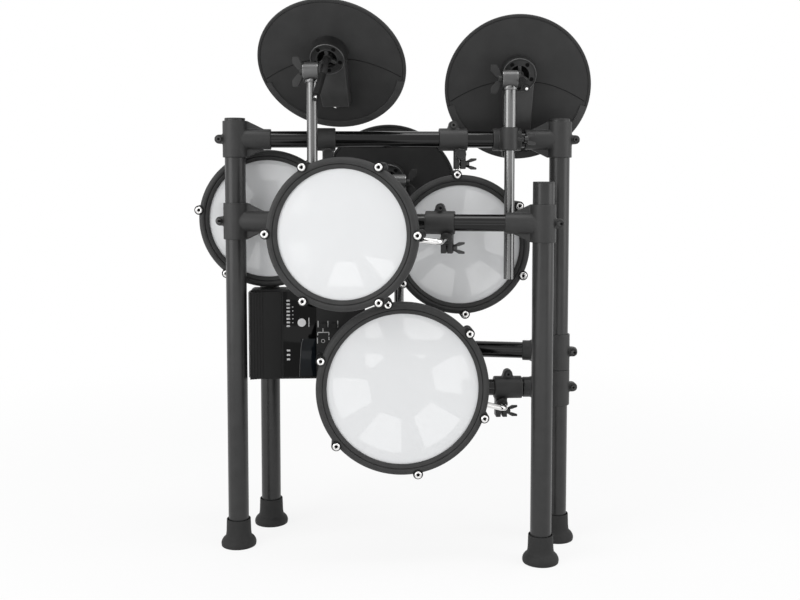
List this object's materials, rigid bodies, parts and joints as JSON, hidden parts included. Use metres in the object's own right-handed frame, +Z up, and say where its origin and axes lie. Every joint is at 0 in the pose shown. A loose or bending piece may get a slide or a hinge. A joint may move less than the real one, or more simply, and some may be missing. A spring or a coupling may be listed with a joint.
{
  "type": "electronic drum kit",
  "caption": "Electronic drum kit on a folding tube rack: mesh drum pads on bent rods, cymbal pads on tilting arms and a clamped sound module, stored folded flat.",
  "frame": {"origin": "centre of the whole kit's bounding box, on the floor", "axes": "+X along the main bar towards the taller right post, +Y away from the player, +Z up"},
  "size_m": [0.709, 0.4034, 0.9542],
  "materials": {
    "black_tube": "satin black",
    "foot_rubber": "matt",
    "fitting_plastic": "fine matt",
    "black_bolt": "black oxide",
    "chrome_rod": "polished",
    "hoop_rubber": "matt",
    "mesh_head": "white woven mesh",
    "shell_plastic": "moulded",
    "trigger_foam": "foam",
    "arm_tube": "satin grey black",
    "stem_metal": "satin",
    "wing_bolt": "matt",
    "cymbal_rubber": "matt",
    "chrome_bolt": "polished",
    "module_plastic": "fine matt",
    "module_gloss": "gloss black",
    "module_key": "matt"
  },
  "bodies": {
    "frame": {"main_posts": "black_tube", "main_post_ends": "foot_rubber", "main_bar": "black_tube", "main_bar_fittings": "fitting_plastic", "main_bar_bolts": "black_bolt"},
    "left_wing": {"left_wing_post": "black_tube", "left_wing_post_ends": "foot_rubber", "left_wing_bar": "black_tube", "left_wing_fittings": "fitting_plastic", "left_wing_bolts": "black_bolt"},
    "right_wing": {"right_wing_post": "black_tube", "right_wing_post_ends": "foot_rubber", "right_wing_bar": "black_tube", "right_wing_fittings": "fitting_plastic", "right_wing_bolts": "black_bolt"},
    "snare_arm": {"snare_arm_bar": "black_tube", "snare_arm_fittings": "fitting_plastic", "snare_arm_bolts": "black_bolt"},
    "module": {"module_case": "module_plastic", "module_panel": "module_gloss", "module_clamp": "fitting_plastic"},
    "dial": {"module_dial": "module_key"},
    "button_1": {"module_button_1": "module_key"},
    "button_2": {"module_button_2": "module_key"},
    "pad1_rod": {"pad1_rod": "chrome_rod"},
    "pad1": {"pad1_hoop": "hoop_rubber", "pad1_head": "mesh_head", "pad1_lug_bolts": "chrome_bolt", "pad1_shell": "shell_plastic", "pad1_trigger": "trigger_foam"},
    "pad2_rod": {"pad2_rod": "chrome_rod"},
    "pad2": {"pad2_hoop": "hoop_rubber", "pad2_head": "mesh_head", "pad2_lug_bolts": "chrome_bolt", "pad2_shell": "shell_plastic", "pad2_trigger": "trigger_foam"},
    "pad3_rod": {"pad3_rod": "chrome_rod"},
    "pad3": {"pad3_hoop": "hoop_rubber", "pad3_head": "mesh_head", "pad3_lug_bolts": "chrome_bolt", "pad3_shell": "shell_plastic", "pad3_trigger": "trigger_foam"},
    "pad4_rod": {"pad4_rod": "chrome_rod"},
    "pad4": {"pad4_hoop": "hoop_rubber", "pad4_head": "mesh_head", "pad4_lug_bolts": "chrome_bolt", "pad4_shell": "shell_plastic", "pad4_trigger": "trigger_foam"},
    "cymbal1_arm": {"cymbal1_arm": "arm_tube"},
    "cymbal1": {"cymbal1_stem": "stem_metal", "cymbal1_pad": "cymbal_rubber"},
    "cymbal1_wing_bolt": {"cymbal1_wing_bolt": "wing_bolt"},
    "cymbal2_arm": {"cymbal2_arm": "arm_tube"},
    "cymbal2": {"cymbal2_stem": "stem_metal", "cymbal2_pad": "cymbal_rubber"},
    "cymbal2_wing_bolt": {"cymbal2_wing_bolt": "wing_bolt"},
    "cymbal3_arm": {"cymbal3_arm": "arm_tube"},
    "cymbal3": {"cymbal3_stem": "stem_metal", "cymbal3_pad": "cymbal_rubber"},
    "cymbal3_wing_bolt": {"cymbal3_wing_bolt": "wing_bolt"}
  },
  "joints": [
    {"name": "left_wing_fold", "type": "hinge", "parent": "frame", "child": "left_wing", "pos_m": [-0.27803, 0.02221, 0], "axis": [0, 0, 1], "range_deg": [-98, 0]},
    {"name": "right_wing_fold", "type": "hinge", "parent": "frame", "child": "right_wing", "pos_m": [0.29497, 0.02221, 0], "axis": [0, 0, 1], "range_deg": [-250, 0]},
    {"name": "snare_arm_swing", "type": "hinge", "parent": "frame", "child": "snare_arm", "pos_m": [0.29497, 0.02221, 0], "axis": [0, 0, 1], "range_deg": [0, 15]},
    {"name": "pad1_swing", "type": "hinge", "parent": "left_wing", "child": "pad1_rod", "pos_m": [0.08748, -0.05216, 0.554], "axis": [0.1994, 0.9799, 0], "range_deg": [-3, 12]},
    {"name": "pad1_tilt", "type": "hinge", "parent": "pad1_rod", "child": "pad1", "pos_m": [-0.09549, -0.12208, 0.56823], "axis": [-0.9763, 0.1986, 0.0857], "range_deg": [-15, 15]},
    {"name": "pad2_swing", "type": "hinge", "parent": "snare_arm", "child": "pad2_rod", "pos_m": [0.19247, 0.02221, 0.2536], "axis": [0, 1, 0], "range_deg": [-8, 2]},
    {"name": "pad2_tilt", "type": "hinge", "parent": "pad2_rod", "child": "pad2", "pos_m": [-0.00117, -0.03679, 0.30243], "axis": [-0.9696, 0, 0.2445], "range_deg": [-10, 10]},
    {"name": "pad3_swing", "type": "hinge", "parent": "frame", "child": "pad3_rod", "pos_m": [-0.11553, 0.02221, 0.697], "axis": [0, 1, 0], "range_deg": [0, 14]},
    {"name": "pad3_tilt", "type": "hinge", "parent": "pad3_rod", "child": "pad3", "pos_m": [-0.23228, 0.09921, 0.57369], "axis": [-0.6875, 0, -0.7262], "range_deg": [0, 4]},
    {"name": "pad4_swing", "type": "hinge", "parent": "frame", "child": "pad4_rod", "pos_m": [0.11647, 0.02221, 0.697], "axis": [0, 1, 0], "range_deg": [-6, 6]},
    {"name": "pad4_tilt", "type": "hinge", "parent": "pad4_rod", "child": "pad4", "pos_m": [0.11754, 0.04821, 0.526], "axis": [0.0063, 0, -1], "range_deg": [-5, 0]},
    {"name": "cymbal1_height", "type": "slide", "parent": "left_wing", "child": "cymbal1_arm", "axis": [0, 0, 1], "range_m": [0, 0.07]},
    {"name": "cymbal1_tilt", "type": "hinge", "parent": "cymbal1_arm", "child": "cymbal1", "pos_m": [-0.14116, -0.04238, 0.835], "axis": [0.9796, -0.2011, 0], "range_deg": [-6, 25]},
    {"name": "cymbal1_wing_turn", "type": "hinge", "parent": "cymbal1_arm", "child": "cymbal1_wing_bolt", "pos_m": [-0.14116, -0.04238, 0.835], "axis": [0.9796, -0.2011, 0], "continuous": true},
    {"name": "cymbal2_height", "type": "slide", "parent": "frame", "child": "cymbal2_arm", "axis": [0, 0, 1], "range_m": [0, 0.15]},
    {"name": "cymbal2_tilt", "type": "hinge", "parent": "cymbal2_arm", "child": "cymbal2", "pos_m": [0.19967, -0.01379, 0.826], "axis": [0.998, -0.0628, 0], "range_deg": [0, 25]},
    {"name": "cymbal2_wing_turn", "type": "hinge", "parent": "cymbal2_arm", "child": "cymbal2_wing_bolt", "pos_m": [0.19967, -0.01379, 0.826], "axis": [0.998, -0.0628, 0], "continuous": true},
    {"name": "cymbal3_height", "type": "slide", "parent": "right_wing", "child": "cymbal3_arm", "axis": [0, 0, 1], "range_m": [0, 0.09]},
    {"name": "cymbal3_tilt", "type": "hinge", "parent": "cymbal3_arm", "child": "cymbal3", "pos_m": [0.0139, 0.11875, 0.646], "axis": [0.998, -0.0628, 0], "range_deg": [-10, 25]},
    {"name": "cymbal3_wing_turn", "type": "hinge", "parent": "cymbal3_arm", "child": "cymbal3_wing_bolt", "pos_m": [0.0139, 0.11875, 0.646], "axis": [0.998, -0.0628, 0], "continuous": true},
    {"name": "module_swivel", "type": "hinge", "parent": "right_wing", "child": "module", "pos_m": [-0.22834, 0.13344, 0], "axis": [0, 0, 1], "range_deg": [-2, 1]},
    {"name": "module_dial_turn", "type": "hinge", "parent": "module", "child": "dial", "pos_m": [-0.08294, 0.03044, 0.35852], "axis": [0, 1, 0], "continuous": true},
    {"name": "module_button_1_press", "type": "slide", "parent": "module", "child": "button_1", "axis": [0, 1, 0], "range_m": [0, 0.0012], "stiffness_N_per_m": 400},
    {"name": "module_button_2_press", "type": "slide", "parent": "module", "child": "button_2", "axis": [0, 1, 0], "range_m": [0, 0.0012], "stiffness_N_per_m": 400}
  ]
}
